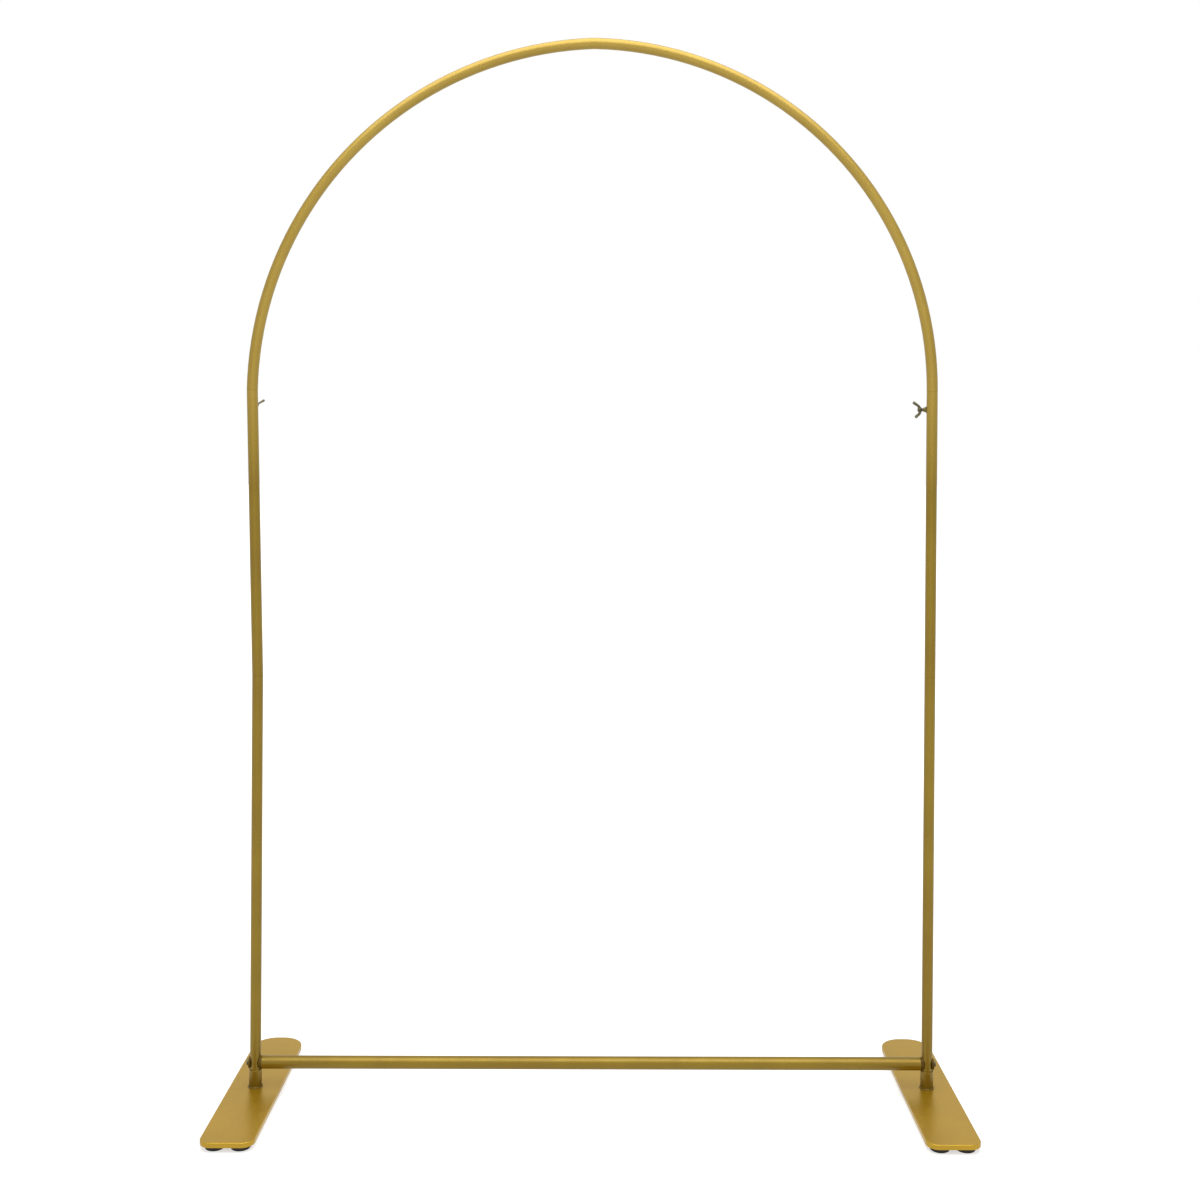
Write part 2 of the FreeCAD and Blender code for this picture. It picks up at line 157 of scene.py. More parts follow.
class ArchStandSizes(bpy.types.PropertyGroup):
    """Sizes of the welds, screws, bolts and feet"""

    weld_ripple: length_property("Weld ripple", "Height of the ripples on a weld bead", 0.22)
    socket_weld_radius: length_property(
        "Socket weld radius", "Radius of the bead round a socket", 1.2
    )
    screw_radius: length_property("Screw radius", "Half the diameter of the M6 thread", 3.0)
    thread_pitch: length_property("Thread pitch", "Distance between turns of the thread", 1.0)
    screw_depth: length_property("Screw depth", "From a boss's mouth in to its screw's tip", 6.25)
    hub_gap: length_property("Hub gap", "Bare thread between a boss and its wing screw's hub", 4.4)
    hub_length: length_property("Hub length", "Length of a wing screw's hub", 6.0)
    hub_radius: length_property("Hub radius", "Radius of a wing screw's hub at its base", 4.5)
    left_wing_turn: bpy.props.FloatProperty(
        name="Left wing turn",
        description="How far the left screw's wings are turned from upright",
        subtype="ANGLE",
        default=math.radians(50),
    )
    right_wing_turn: bpy.props.FloatProperty(
        name="Right wing turn",
        description="How far the right screw's wings are turned from upright",
        subtype="ANGLE",
        default=math.radians(-25),
    )
    bolt_chamfer: length_property("Bolt chamfer", "Cut at the corners of a bolt head", 0.4)
    foot_rim: length_property("Foot rim", "Rounding of a rubber foot's lower rim", 1.5)
    foot_taper: length_property("Foot taper", "How much narrower a foot is at the floor", 1.0)


class ArchStandStudio(bpy.types.PropertyGroup):
    """The floor, lamps and camera"""

    key_power: bpy.props.FloatProperty(
        name="Key lamp",
        description="Power of the soft lamp over the stand",
        subtype="POWER",
        min=0,
        default=115,
    )
    fill_power: bpy.props.FloatProperty(
        name="Fill lamp",
        description="Power of the soft lamp in front",
        subtype="POWER",
        min=0,
        default=4,
    )
    ambient: share_property("Ambient light", "Brightness of the room's own light", 0.65)
    camera_distance: length_property("Camera distance", "From the stand to the camera", 2518.7)
    camera_height: length_property("Camera height", "From the floor to the camera", 1144.3)
    camera_aside: length_property(
        "Camera aside", "From the middle to the camera, to the right", 12.9
    )
    camera_pitch: bpy.props.FloatProperty(
        name="Camera pitch",
        description="How far the camera looks down",
        subtype="ANGLE",
        default=math.radians(1.33),
    )
    camera_roll: bpy.props.FloatProperty(
        name="Camera roll",
        description="How far the camera leans to its left",
        subtype="ANGLE",
        default=math.radians(0.155),
    )
    lens: bpy.props.FloatProperty(
        name="Focal length", description="Focal length in millimetres", min=1, default=43.34
    )
    vertical_shift: bpy.props.FloatProperty(
        name="Vertical shift",
        description="Shift of the lens, as a share of the frame",
        default=-0.1,
    )


# The columns of the node editor, from the coordinates to the output.
COORDINATE_COLUMN = -1400
PATTERN_COLUMN = -1100
RANGE_COLUMN = -800
FADE_COLUMN = -600
SHADE_COLUMN = -400
BUMP_COLUMN = -300
OUTPUT_COLUMN = 400
# The rows of the node editor, from a piece's colour down to its bumps.
HEIGHT_ROW = 500
COLOUR_ROW = 200
FLAKE_ROW = -200
RANGE_ROW = -300
GLOSS_ROW = -400
WAVE_ROW = -600
GRAIN_ROW = -700
SKIN_ROW = -800

# Between these two values lies most of a noise pattern.
NOISE_LOW = 0.3
NOISE_HIGH = 0.7
# A noise pattern turns from the deep tone to the bright one between these values.
DEEP_TONE_END = 0.35
BRIGHT_TONE_START = 0.65


def new_finish(name):
    """A material with a principled shader, and its node tree and shader."""
    finish = bpy.data.materials.new(name)
    finish.use_nodes = True
    tree = finish.node_tree
    tree.nodes.clear()
    output = tree.nodes.new("ShaderNodeOutputMaterial")
    output.location = (OUTPUT_COLUMN, 0)
    shader = tree.nodes.new("ShaderNodeBsdfPrincipled")
    tree.links.new(shader.outputs["BSDF"], output.inputs["Surface"])
    return finish, tree, shader


def object_place(tree):
    """The coordinates of the piece itself, in metres."""
    coordinates = tree.nodes.new("ShaderNodeTexCoord")
    coordinates.location = (COORDINATE_COLUMN, 0)
    return coordinates.outputs["Object"]


def cloud(tree, place, scale, detail, row=0):
    """A noise pattern with so many cycles to the metre."""
    noise = tree.nodes.new("ShaderNodeTexNoise")
    noise.location = (PATTERN_COLUMN, row)
    noise.inputs["Scale"].default_value = scale
    noise.inputs["Detail"].default_value = detail
    tree.links.new(place, noise.inputs["Vector"])
    return noise.outputs["Fac"]


def cells(tree, place, scale, row=0):
    """The colour of small random cells, so many to the metre."""
    voronoi = tree.nodes.new("ShaderNodeTexVoronoi")
    voronoi.location = (PATTERN_COLUMN, row)
    voronoi.inputs["Scale"].default_value = scale
    tree.links.new(place, voronoi.inputs["Vector"])
    return voronoi.outputs["Color"]


def spread(tree, value, low, high, from_low=NOISE_LOW, from_high=NOISE_HIGH):
    """The value stretched to run from low to high."""
    stretch = tree.nodes.new("ShaderNodeMapRange")
    stretch.location = (RANGE_COLUMN, RANGE_ROW)
    stretch.inputs["From Min"].default_value = from_low
    stretch.inputs["From Max"].default_value = from_high
    stretch.inputs["To Min"].default_value = low
    stretch.inputs["To Max"].default_value = high
    tree.links.new(value, stretch.inputs["Value"])
    return stretch.outputs["Result"]


def two_tones(tree, value, deep, bright):
    """A colour between two tones of one paint."""
    ramp = tree.nodes.new("ShaderNodeValToRGB")
    ramp.location = (RANGE_COLUMN, COLOUR_ROW)
    ramp.color_ramp.elements[0].position = DEEP_TONE_END
    ramp.color_ramp.elements[0].color = (*deep, 1)
    ramp.color_ramp.elements[1].position = BRIGHT_TONE_START
    ramp.color_ramp.elements[1].color = (*bright, 1)
    tree.links.new(value, ramp.inputs["Fac"])
    return ramp.outputs["Color"]


def shaded_by(tree, colour, brightness):
    """The colour times a brightness."""
    multiply = tree.nodes.new("ShaderNodeMix")
    multiply.location = (SHADE_COLUMN, COLOUR_ROW)
    multiply.data_type = "RGBA"
    multiply.blend_type = "MULTIPLY"
    multiply.inputs["Factor"].default_value = 1
    tree.links.new(colour, multiply.inputs["A"])
    tree.links.new(brightness, multiply.inputs["B"])
    return multiply.outputs["Result"]


def raised(tree, height, depth, strength, below=None):
    """A bump of so many metres, over another bump if one is given."""
    bump = tree.nodes.new("ShaderNodeBump")
    bump.location = (BUMP_COLUMN, RANGE_ROW)
    bump.inputs["Strength"].default_value = strength
    bump.inputs["Distance"].default_value = depth
    tree.links.new(height, bump.inputs["Height"])
    if below is not None:
        tree.links.new(below, bump.inputs["Normal"])
    return bump.outputs["Normal"]


# The heights between which the painted shade at a socket's foot, beside its weld, clears.
FOOT_SHADE_LOW = 18 * MM
FOOT_SHADE_HIGH = 46 * MM
# The heights between which an upright's paint turns to the arch's lighter tone, painted light from
# above.
PAINTED_LIGHT_LOW = 1070 * MM
PAINTED_LIGHT_HIGH = 1260 * MM


def height_of(tree, place):
    """The height over the floor, in metres."""
    split = tree.nodes.new("ShaderNodeSeparateXYZ")
    split.location = (PATTERN_COLUMN, HEIGHT_ROW)
    tree.links.new(place, split.inputs["Vector"])
    return split.outputs["Z"]


def painted_foot_shade(tree, place, depth):
    """Painted shade: a brightness that falls by depth down a socket, to the weld at its foot."""
    return spread(tree, height_of(tree, place), 1 - depth, 1, FOOT_SHADE_LOW, FOOT_SHADE_HIGH)


def painted_light_upward(tree, place, colour, light):
    """The colour, lightened toward the arch as painted light from above."""
    mix = tree.nodes.new("ShaderNodeMix")
    mix.location = (FADE_COLUMN, COLOUR_ROW)
    mix.data_type = "RGBA"
    rise = spread(tree, height_of(tree, place), 0, 1, PAINTED_LIGHT_LOW, PAINTED_LIGHT_HIGH)
    tree.links.new(rise, mix.inputs["Factor"])
    tree.links.new(colour, mix.inputs["A"])
    mix.inputs["B"].default_value = (*light, 1)
    return mix.outputs["Result"]


# The gold paint's patterns, as the number of each to the metre.
TONE_CLOUDS = 9
PAINT_FLAKES = 1400
GLOSS_CLOUDS = 55
PAINT_WAVES = 70
ORANGE_PEEL = 620
# The height of its slow waves and of its orange peel.
WAVE_HEIGHT = 0.1 * MM
PEEL_HEIGHT = 0.05 * MM
# How strongly they show on the tubes, on the welds and bosses, and on the flat plates.
TUBE_PEEL = 0.35
WELD_PEEL = 0.7
PLATE_PEEL = 0.1
# How much a flake's brightness strays on the tubes and on the plates.
TUBE_SPARKLE = 0.07
PLATE_SPARKLE = 0.03
# Between these two values of its cell a flake goes from dark to bright.
DARK_FLAKE = 0.1
BRIGHT_FLAKE = 0.9
# How far the paint's roughness goes under and over the one that is set.
GLOSSIER_BY = 0.04
DULLER_BY = 0.05
# What the paint reflects besides its metal, and its clear coat.
PAINT_SPECULAR = 0.2
COAT_WEIGHT = 0.5
COAT_ROUGHNESS = 0.32


def gold_paint(
    name, bright, deep, settings, roughness, peel, sparkle=TUBE_SPARKLE, foot_shade=0, light=None
):
    """Satin gold paint: slow clouds of tone, fine metal flakes and an orange-peel skin."""
    finish, tree, shader = new_finish(name)
    place = object_place(tree)
    tone = two_tones(tree, cloud(tree, place, TONE_CLOUDS, detail=3), deep, bright)
    # Painted shade, darker down a socket toward its foot.
    if foot_shade:
        tone = shaded_by(tree, tone, painted_foot_shade(tree, place, foot_shade))
    # Painted light, lighter toward the arch.
    if light:
        tone = painted_light_upward(tree, place, tone, light)
    grains = cells(tree, place, PAINT_FLAKES, row=FLAKE_ROW)
    flakes = spread(tree, grains, 1 - sparkle, 1 + sparkle, DARK_FLAKE, BRIGHT_FLAKE)
    tree.links.new(shaded_by(tree, tone, flakes), shader.inputs["Base Color"])
    dull_places = cloud(tree, place, GLOSS_CLOUDS, detail=4, row=GLOSS_ROW)
    dullness = spread(tree, dull_places, roughness - GLOSSIER_BY, roughness + DULLER_BY)
    tree.links.new(dullness, shader.inputs["Roughness"])
    slow_waves = cloud(tree, place, PAINT_WAVES, detail=2, row=WAVE_ROW)
    waves = raised(tree, slow_waves, WAVE_HEIGHT, peel)
    fine_waves = cloud(tree, place, ORANGE_PEEL, detail=2, row=SKIN_ROW)
    skin = raised(tree, fine_waves, PEEL_HEIGHT, peel, waves)
    tree.links.new(skin, shader.inputs["Normal"])
    shader.inputs["Metallic"].default_value = settings.metallic
    shader.inputs["Specular IOR Level"].default_value = PAINT_SPECULAR
    shader.inputs["Specular Tint"].default_value = (*settings.edge_gold, 1)
    shader.inputs["Coat Weight"].default_value = COAT_WEIGHT
    shader.inputs["Coat Roughness"].default_value = COAT_ROUGHNESS
    return finish


# The dark plating's patterns, as the number of each to the metre.
ZINC_STAINS = 190
ZINC_DULL_CLOUDS = 420
ZINC_GRAIN = 1500
# The height and strength of its grain, its range of roughness and its share of metal.
ZINC_GRAIN_HEIGHT = 0.04 * MM
ZINC_GRAIN_STRENGTH = 0.5
ZINC_SMOOTHEST = 0.34
ZINC_ROUGHEST = 0.52
ZINC_METALLIC = 0.9


def dark_zinc(settings):
    """Dull dark plating with stained patches."""
    finish, tree, shader = new_finish("dark_zinc")
    place = object_place(tree)
    stains = cloud(tree, place, ZINC_STAINS, detail=5)
    tone = two_tones(tree, stains, settings.zinc_deep, settings.zinc)
    tree.links.new(tone, shader.inputs["Base Color"])
    dull_places = cloud(tree, place, ZINC_DULL_CLOUDS, detail=4, row=GLOSS_ROW)
    dullness = spread(tree, dull_places, ZINC_SMOOTHEST, ZINC_ROUGHEST)
    tree.links.new(dullness, shader.inputs["Roughness"])
    specks = cloud(tree, place, ZINC_GRAIN, detail=3, row=GRAIN_ROW)
    grain = raised(tree, specks, ZINC_GRAIN_HEIGHT, ZINC_GRAIN_STRENGTH)
    tree.links.new(grain, shader.inputs["Normal"])
    shader.inputs["Metallic"].default_value = ZINC_METALLIC
    return finish


# The clouds of dust and of wear on plastic and rubber, as the number of each to the metre.
DUST_CLOUDS = 160
WEAR_CLOUDS = 300
# Dust lightens a colour by a factor and a little more.
DUST_GAIN = 1.8
DUST_VEIL = 0.004
MOULDED_GRAIN_STRENGTH = 0.6


def moulded(name, colour, low_roughness, high_roughness, grain_scale, grain_depth, gloss):
    """Dark moulded plastic or rubber with a fine grain and a trace of dust."""
    finish, tree, shader = new_finish(name)
    place = object_place(tree)
    dusty = [min(1, level * DUST_GAIN + DUST_VEIL) for level in colour]
    tone = two_tones(tree, cloud(tree, place, DUST_CLOUDS, detail=5), colour, dusty)
    tree.links.new(tone, shader.inputs["Base Color"])
    worn_places = cloud(tree, place, WEAR_CLOUDS, detail=3, row=GLOSS_ROW)
    dullness = spread(tree, worn_places, low_roughness, high_roughness)
    tree.links.new(dullness, shader.inputs["Roughness"])
    specks = cloud(tree, place, grain_scale, detail=2, row=GRAIN_ROW)
    grain = raised(tree, specks, grain_depth * MM, MOULDED_GRAIN_STRENGTH)
    tree.links.new(grain, shader.inputs["Normal"])
    shader.inputs["Specular IOR Level"].default_value = gloss
    return finish


def coat(piece, finish):
    """Gives a piece one finish all over."""
    if piece.material_slots:
        for slot in piece.material_slots:
            slot.material = finish
    else:
        piece.data.materials.append(finish)


def coat_nodes(finish, *starts):
    """Gives a finish to every CAD node whose name has one of these starts."""
    found = [piece for name, piece in frame["nodes"].items() if name.startswith(starts)]
    if not found:
        raise RuntimeError(f"no CAD node starts with {starts}")
    for piece in found:
        coat(piece, finish)


def named(name):
    """Names the object that was just added and returns it."""
    piece = bpy.context.active_object
    piece.name = name
    piece.data.name = name
    return piece


def apply_place(piece):
    """Puts the object's place, turn and scale into its mesh."""
    bpy.ops.object.select_all(action="DESELECT")
    piece.select_set(True)
    bpy.context.view_layer.objects.active = piece
    bpy.ops.object.transform_apply(location=True, rotation=True, scale=True)


def move_to(piece, place):
    """Carries a piece made round the origin to its place on the stand."""
    piece.matrix_world = place @ piece.matrix_world
    bpy.context.view_layer.update()
    apply_place(piece)


def edit(piece):
    """Opens the piece in edit mode with nothing selected."""
    bpy.ops.object.select_all(action="DESELECT")
    piece.select_set(True)
    bpy.context.view_layer.objects.active = piece
    bpy.ops.object.mode_set(mode="EDIT")
    bpy.ops.mesh.select_all(action="DESELECT")


def close_edit():
    """Goes back to object mode."""
    bpy.ops.object.mode_set(mode="OBJECT")


# A face counts as facing a way when its normal goes this far along it.
FACING = 0.9


def faces_up(centre, normal):
    """Whether a face looks up."""
    return normal.z > FACING


def faces_down(centre, normal):
    """Whether a face looks down."""
    return normal.z < -FACING


def pick_faces(piece, wanted):
    """Selects only the faces whose centre and normal are wanted."""
    bpy.ops.mesh.select_all(action="DESELECT")
    bpy.ops.mesh.select_mode(type="FACE")
    mesh = bmesh.from_edit_mesh(piece.data)
    for face in mesh.faces:
        if wanted(face.calc_center_median(), face.normal):
            face.select_set(True)
    bmesh.update_edit_mesh(piece.data)


def pick_vertices(piece, wanted):
    """Selects only the vertices whose place is wanted."""
    bpy.ops.mesh.select_all(action="DESELECT")
    bpy.ops.mesh.select_mode(type="VERT")
    mesh = bmesh.from_edit_mesh(piece.data)
    for vertex in mesh.verts:
        if wanted(vertex.co):
            vertex.select_set(True)
    bmesh.update_edit_mesh(piece.data)


def pick_edges(piece, wanted):
    """Selects only the edges whose two ends are wanted."""
    bpy.ops.mesh.select_all(action="DESELECT")
    bpy.ops.mesh.select_mode(type="EDGE")
    mesh = bmesh.from_edit_mesh(piece.data)
    for edge in mesh.edges:
        if wanted(edge.verts[0].co, edge.verts[1].co):
            edge.select_set(True)
    bmesh.update_edit_mesh(piece.data)


def picked_centre(piece):
    """The middle of the selected vertices."""
    mesh = bmesh.from_edit_mesh(piece.data)
    places = [vertex.co.copy() for vertex in mesh.verts if vertex.select]
    return sum(places, Vector()) / len(places)


def draw_out(piece, offset, growth, turn=0):
    """Extrudes the selected face by an offset, scales its new end and turns it about Y."""
    bpy.ops.mesh.extrude_region_move(TRANSFORM_OT_translate={"value": offset})
    centre = picked_centre(piece)
    bpy.ops.transform.resize(value=growth, center_override=centre)
    if turn:
        bpy.ops.transform.rotate(value=turn, orient_axis="Y", center_override=centre)


def finish_with(piece, kind, **settings):
    """Applies one modifier to the piece."""
    modifier = piece.modifiers.new(kind.title(), kind)
    for name, value in settings.items():
        setattr(modifier, name, value)
    bpy.ops.object.select_all(action="DESELECT")
    piece.select_set(True)
    bpy.context.view_layer.objects.active = piece
    bpy.ops.object.modifier_apply(modifier=modifier.name)


# Edges sharper than this many degrees stay sharp on the bolts and feet.
CREASE_ANGLE = 40


def smooth(piece, angle=None):
    """Shades the piece smooth, but not over edges sharper than the angle."""
    bpy.ops.object.select_all(action="DESELECT")
    piece.select_set(True)
    bpy.context.view_layer.objects.active = piece
    if angle is None:
        bpy.ops.object.shade_smooth()
    else:
        bpy.ops.object.shade_smooth_by_angle(angle=math.radians(angle))


def join(pieces, name):
    """Joins pieces into the first one."""
    bpy.ops.object.select_all(action="DESELECT")
    for piece in pieces:
        piece.select_set(True)
    bpy.context.view_layer.objects.active = pieces[0]
    bpy.ops.object.join()
    return named(name)


def own_copy(piece, name):
    """A second object like this one, with its own mesh."""
    copy = piece.copy()
    copy.data = piece.data.copy()
    copy.name = name
    copy.data.name = name
    bpy.context.collection.objects.link(copy)
    return copy


def hand_over(piece, finish, slot, body, *nodes):
    """Coats a finished piece, hides the CAD nodes that it replaces and hangs it on its body."""
    coat(piece, finish)
    if nodes:
        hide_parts(*nodes)
    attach(piece, body)


def finish_named(name):
    """A finish that an earlier step made."""
    if name not in bpy.data.materials:
        raise RuntimeError(f"paint the stand first: there is no finish {name}")
    return bpy.data.materials[name]


# How finely a weld bead is divided along each ripple and round its section.
RIPPLE_STEPS = 6
BEAD_SIDES = 20
# The least and greatest height of a ripple, as shares of the usual one.
LOWEST_RIPPLE = 0.7
HIGHEST_RIPPLE = 1.2
# How far a ripple's crescent trails at its sides, as a share of the ripple.
CRESCENT_TRAIL = 0.45


def weld_bead(name, ring_radius, bead_radius, ripples, ripple_height, seed):
    """A weld bead round the origin, in overlapping crescents like laid coins."""
    bpy.ops.object.select_all(action="DESELECT")
    bpy.ops.mesh.primitive_torus_add(
        major_segments=ripples * RIPPLE_STEPS,
        minor_segments=BEAD_SIDES,
        major_radius=ring_radius,
        minor_radius=bead_radius,
    )
    bead = named(name)
    edit(bead)
    dice = random.Random(seed)
    heights = [
        ripple_height * dice.uniform(LOWEST_RIPPLE, HIGHEST_RIPPLE) for _ in range(ripples)
    ]

    def ripple_phase(place):
        """Where a point is in its ripple, from 0 to 1, and the ripple's number."""
        turn = math.atan2(place.y, place.x) / (2 * math.pi) % 1
        across = (math.hypot(place.x, place.y) - ring_radius) / bead_radius
        whole = turn * ripples + CRESCENT_TRAIL * across * across
        return whole % 1, int(whole) % ripples

    for ripple, height in enumerate(heights):
        for step in range(RIPPLE_STEPS):
            low = step / RIPPLE_STEPS
            high = (step + 1) / RIPPLE_STEPS

            def in_step(place):
                phase, number = ripple_phase(place)
                return number == ripple and low <= phase < high

            pick_vertices(bead, in_step)
            rise = height * (1 - step / (RIPPLE_STEPS - 1)) - height / 2
            bpy.ops.transform.shrink_fatten(value=rise)
    close_edit()
    finish_with(bead, "SUBSURF", levels=1, render_levels=1)
    smooth(bead)
    return bead


# A screw's sizes as shares of its pitch: the radius of the triangle that is the section of
# its thread, how far its core lies under the crest, and how much of its end has no thread.
TOOTH_RADIUS = 0.5
CORE_UNDER_CREST = 0.55
UNTHREADED_END = 1.5
# How finely the thread and the core are divided round their axis.
THREAD_SIDES = 28
CORE_SIDES = 40
# How far the core narrows at its tip, as a share of its radius, and the tip's length.
TIP_NARROWING = 0.3
TIP_LENGTH = 0.3 * MM


def helix_thread(name, radius, pitch, start, length):
    """The ridge of a screw thread round Z: a small triangle drawn along a helix."""
    bpy.ops.object.select_all(action="DESELECT")
    tooth = pitch * TOOTH_RADIUS
    bpy.ops.mesh.primitive_circle_add(
        vertices=3,
        radius=tooth,
        location=(radius - tooth, 0, start),
        rotation=(math.pi / 2, 0, 0),
        fill_type="NOTHING",
    )
    ridge = named(name)
    edit(ridge)
    bpy.ops.mesh.select_all(action="SELECT")
    bpy.ops.transform.rotate(
        value=math.pi / 2, orient_axis="Y", center_override=(radius - tooth, 0, start)
    )
    close_edit()
    apply_place(ridge)
    finish_with(
        ridge,
        "SCREW",
        axis="Z",
        screw_offset=pitch,
        iterations=round(length / pitch),
        steps=THREAD_SIDES,
        render_steps=THREAD_SIDES,
        use_normal_calculate=True,
    )
    edit(ridge)
    bpy.ops.mesh.select_all(action="SELECT")
    bpy.ops.mesh.fill_holes(sides=4)
    bpy.ops.mesh.select_all(action="SELECT")
    bpy.ops.mesh.normals_make_consistent(inside=False)
    close_edit()
    return ridge


def threaded_shank(name, radius, pitch, start, end):
    """A threaded rod along Z from start to end, with a tapered point at its start."""
    core = radius - pitch * CORE_UNDER_CREST
    bpy.ops.object.select_all(action="DESELECT")
    bpy.ops.mesh.primitive_cylinder_add(
        vertices=CORE_SIDES,
        radius=core,
        depth=end - start,
        location=(0, 0, (start + end) / 2),
    )
    rod = named(name)
    apply_place(rod)
    edit(rod)
    pick_faces(rod, faces_down)
    bpy.ops.mesh.inset(thickness=core * TIP_NARROWING, depth=0)
    bpy.ops.transform.translate(value=(0, 0, -TIP_LENGTH))
    close_edit()
    threaded = end - start - UNTHREADED_END * pitch
    ridge = helix_thread("thread", radius, pitch, start + pitch, threaded)
    return join([rod, ridge], name)


# The hub's blank has few sides and is a little wide, because smoothing rounds and shrinks it.
HUB_SIDES = 8
HUB_BLANK_GROWTH = 1.06
CAST_SMOOTHING = 3
# The crown's width as a share of the hub's, and the rim and the dimple in it.
CROWN_SHARE = 0.86
HUB_RIM_WIDTH = 0.5 * MM
DIMPLE_EDGE_WIDTH = 1.3 * MM
DIMPLE_DEPTH = 0.35 * MM
# A wing grows from a face of the hub that looks this far sideways and lies this near its middle.
WING_ROOT_FACING = 0.95
WING_ROOT_NEARNESS = 0.1 * MM
# Each step of a wing: how far it goes outward and forward in millimetres, how its end changes in
# thickness and in width, and how far it turns forward in degrees.
WING_STEPS = (
    (1.5, 0.5, 1.08, 0.94, 18),
    (1.7, 1.1, 1.04, 0.95, 16),
    (1.9, 1.9, 1.0, 0.96, 14),
    (1.6, 2.0, 1.0, 1.0, 6),
    (1.2, 1.5, 1.18, 1.5, 0),
    (1.5, 1.9, 1.05, 1.08, 0),
    (1.2, 1.5, 0.8, 0.6, 0),
)


def wing_hub(name, sizes):
    """The hub and two swept wings of a wing screw, drawn out of one eight-sided blank."""
    middle = sizes.hub_gap + sizes.hub_length / 2
    bpy.ops.object.select_all(action="DESELECT")
    bpy.ops.mesh.primitive_cylinder_add(
        vertices=HUB_SIDES,
        radius=sizes.hub_radius * HUB_BLANK_GROWTH,
        depth=sizes.hub_length,
        location=(0, 0, middle),
        rotation=(0, 0, math.pi / HUB_SIDES),
        end_fill_type="NGON",
    )
    hub = named(name)
    apply_place(hub)
    edit(hub)
    pick_faces(hub, faces_up)
    bpy.ops.transform.resize(
        value=(CROWN_SHARE, CROWN_SHARE, 1), center_override=(0, 0, middle)
    )
    bpy.ops.mesh.inset(thickness=HUB_RIM_WIDTH, depth=0)
    bpy.ops.mesh.inset(thickness=DIMPLE_EDGE_WIDTH, depth=0)
    bpy.ops.transform.translate(value=(0, 0, -DIMPLE_DEPTH))
    pick_faces(hub, faces_down)
    bpy.ops.mesh.inset(thickness=HUB_RIM_WIDTH, depth=0)
    for side in (-1, 1):

        def is_wing_root(centre, normal):
            return normal.x * side > WING_ROOT_FACING and abs(centre.y) < WING_ROOT_NEARNESS

        pick_faces(hub, is_wing_root)
        for outward, forward, thickness, width, turn in WING_STEPS:
            offset = (side * outward * MM, 0, forward * MM)
            draw_out(hub, offset, (1, thickness, width), side * math.radians(turn))
    close_edit()
    finish_with(hub, "SUBSURF", levels=CAST_SMOOTHING, render_levels=CAST_SMOOTHING)
    smooth(hub)
    return hub


def screw_frame(side_name, turn=0.0):
    """The place of a wing screw: Z out along the screw, X along its wings."""
    joint_name = f"wing_screw_{side_name}_turn"
    joint = next(item for item in frame["joints"] if item["name"] == joint_name)
    outward = Vector(joint["axis"]).normalized()
    upright = Vector((-outward.z, 0, outward.x)).normalized()
    if upright.z < 0:
        upright.negate()
    wings = upright * math.cos(turn) - upright.cross(outward) * math.sin(turn)
    across = outward.cross(wings)
    turned = Matrix((wings, across, outward)).transposed().to_4x4()
    return Matrix.Translation(Vector(joint["pos_m"])) @ turned


class ARCHSTAND_OT_paint_steel(bpy.types.Operator):
    """Paint the tubes, plates, sockets and bosses in satin gold"""

    bl_idname = "arch_stand.paint_steel"
    bl_label = "Paint Steel"

    def execute(self, context):
        look = context.scene.arch_stand_finishes
        satin = look.tube_roughness
        tubes = gold_paint(
            "gold_tube_paint", look.tube_gold, look.tube_gold_deep, look, satin, TUBE_PEEL
        )
        # Painted light: the uprights' paint turns lighter toward the arch.
        uppers = gold_paint(
            "gold_upper_paint_top_lit",
            look.tube_gold,
            look.tube_gold_deep,
            look,
            satin,
            TUBE_PEEL,
            light=look.arch_top_lit_gold,
        )
        # Painted light: the arch's paint is lighter than the uprights'.
        arches = gold_paint(
            "gold_arch_paint_top_lit", look.arch_top_lit_gold, look.arch_top_lit_gold_deep, look, satin, TUBE_PEEL
        )
        # Painted shade toward each socket's foot.
        sockets = gold_paint(
            "gold_socket_paint_shaded_foot",
            look.tube_gold,
            look.tube_gold_deep,
            look,
            satin,
            TUBE_PEEL,
            foot_shade=look.socket_foot_shade,
        )
        # Painted shade: the welds' paint is darker than the tubes'.
        gold_paint(
            "gold_weld_paint_shaded", look.weld_shaded_gold, look.weld_shaded_gold_deep, look, satin, WELD_PEEL
        )
        # Painted shade: the bosses' paint is darker than the tubes'.
        bosses = gold_paint(
            "gold_boss_paint_shaded", look.boss_shaded_gold, look.boss_shaded_gold_deep, look, satin, WELD_PEEL
        )
        # Painted light: the plates' paint is lighter than the tubes'.
        plates = gold_paint(
            "gold_plate_paint_top_lit",
            look.plate_top_lit_gold,
            look.plate_top_lit_gold_deep,
            look,
            look.plate_roughness,
            PLATE_PEEL,
            PLATE_SPARKLE,
        )
        coat_nodes(tubes, "lower_upright_")
        coat_nodes(uppers, "upper_upright_")
        coat_nodes(arches, "arch_")
        coat(frame["nodes"]["crossbar"], tubes)
        coat_nodes(sockets, "post_socket_")
        coat_nodes(bosses, "screw_boss_")
        coat_nodes(plates, "base_plate_")
        return {"FINISHED"}


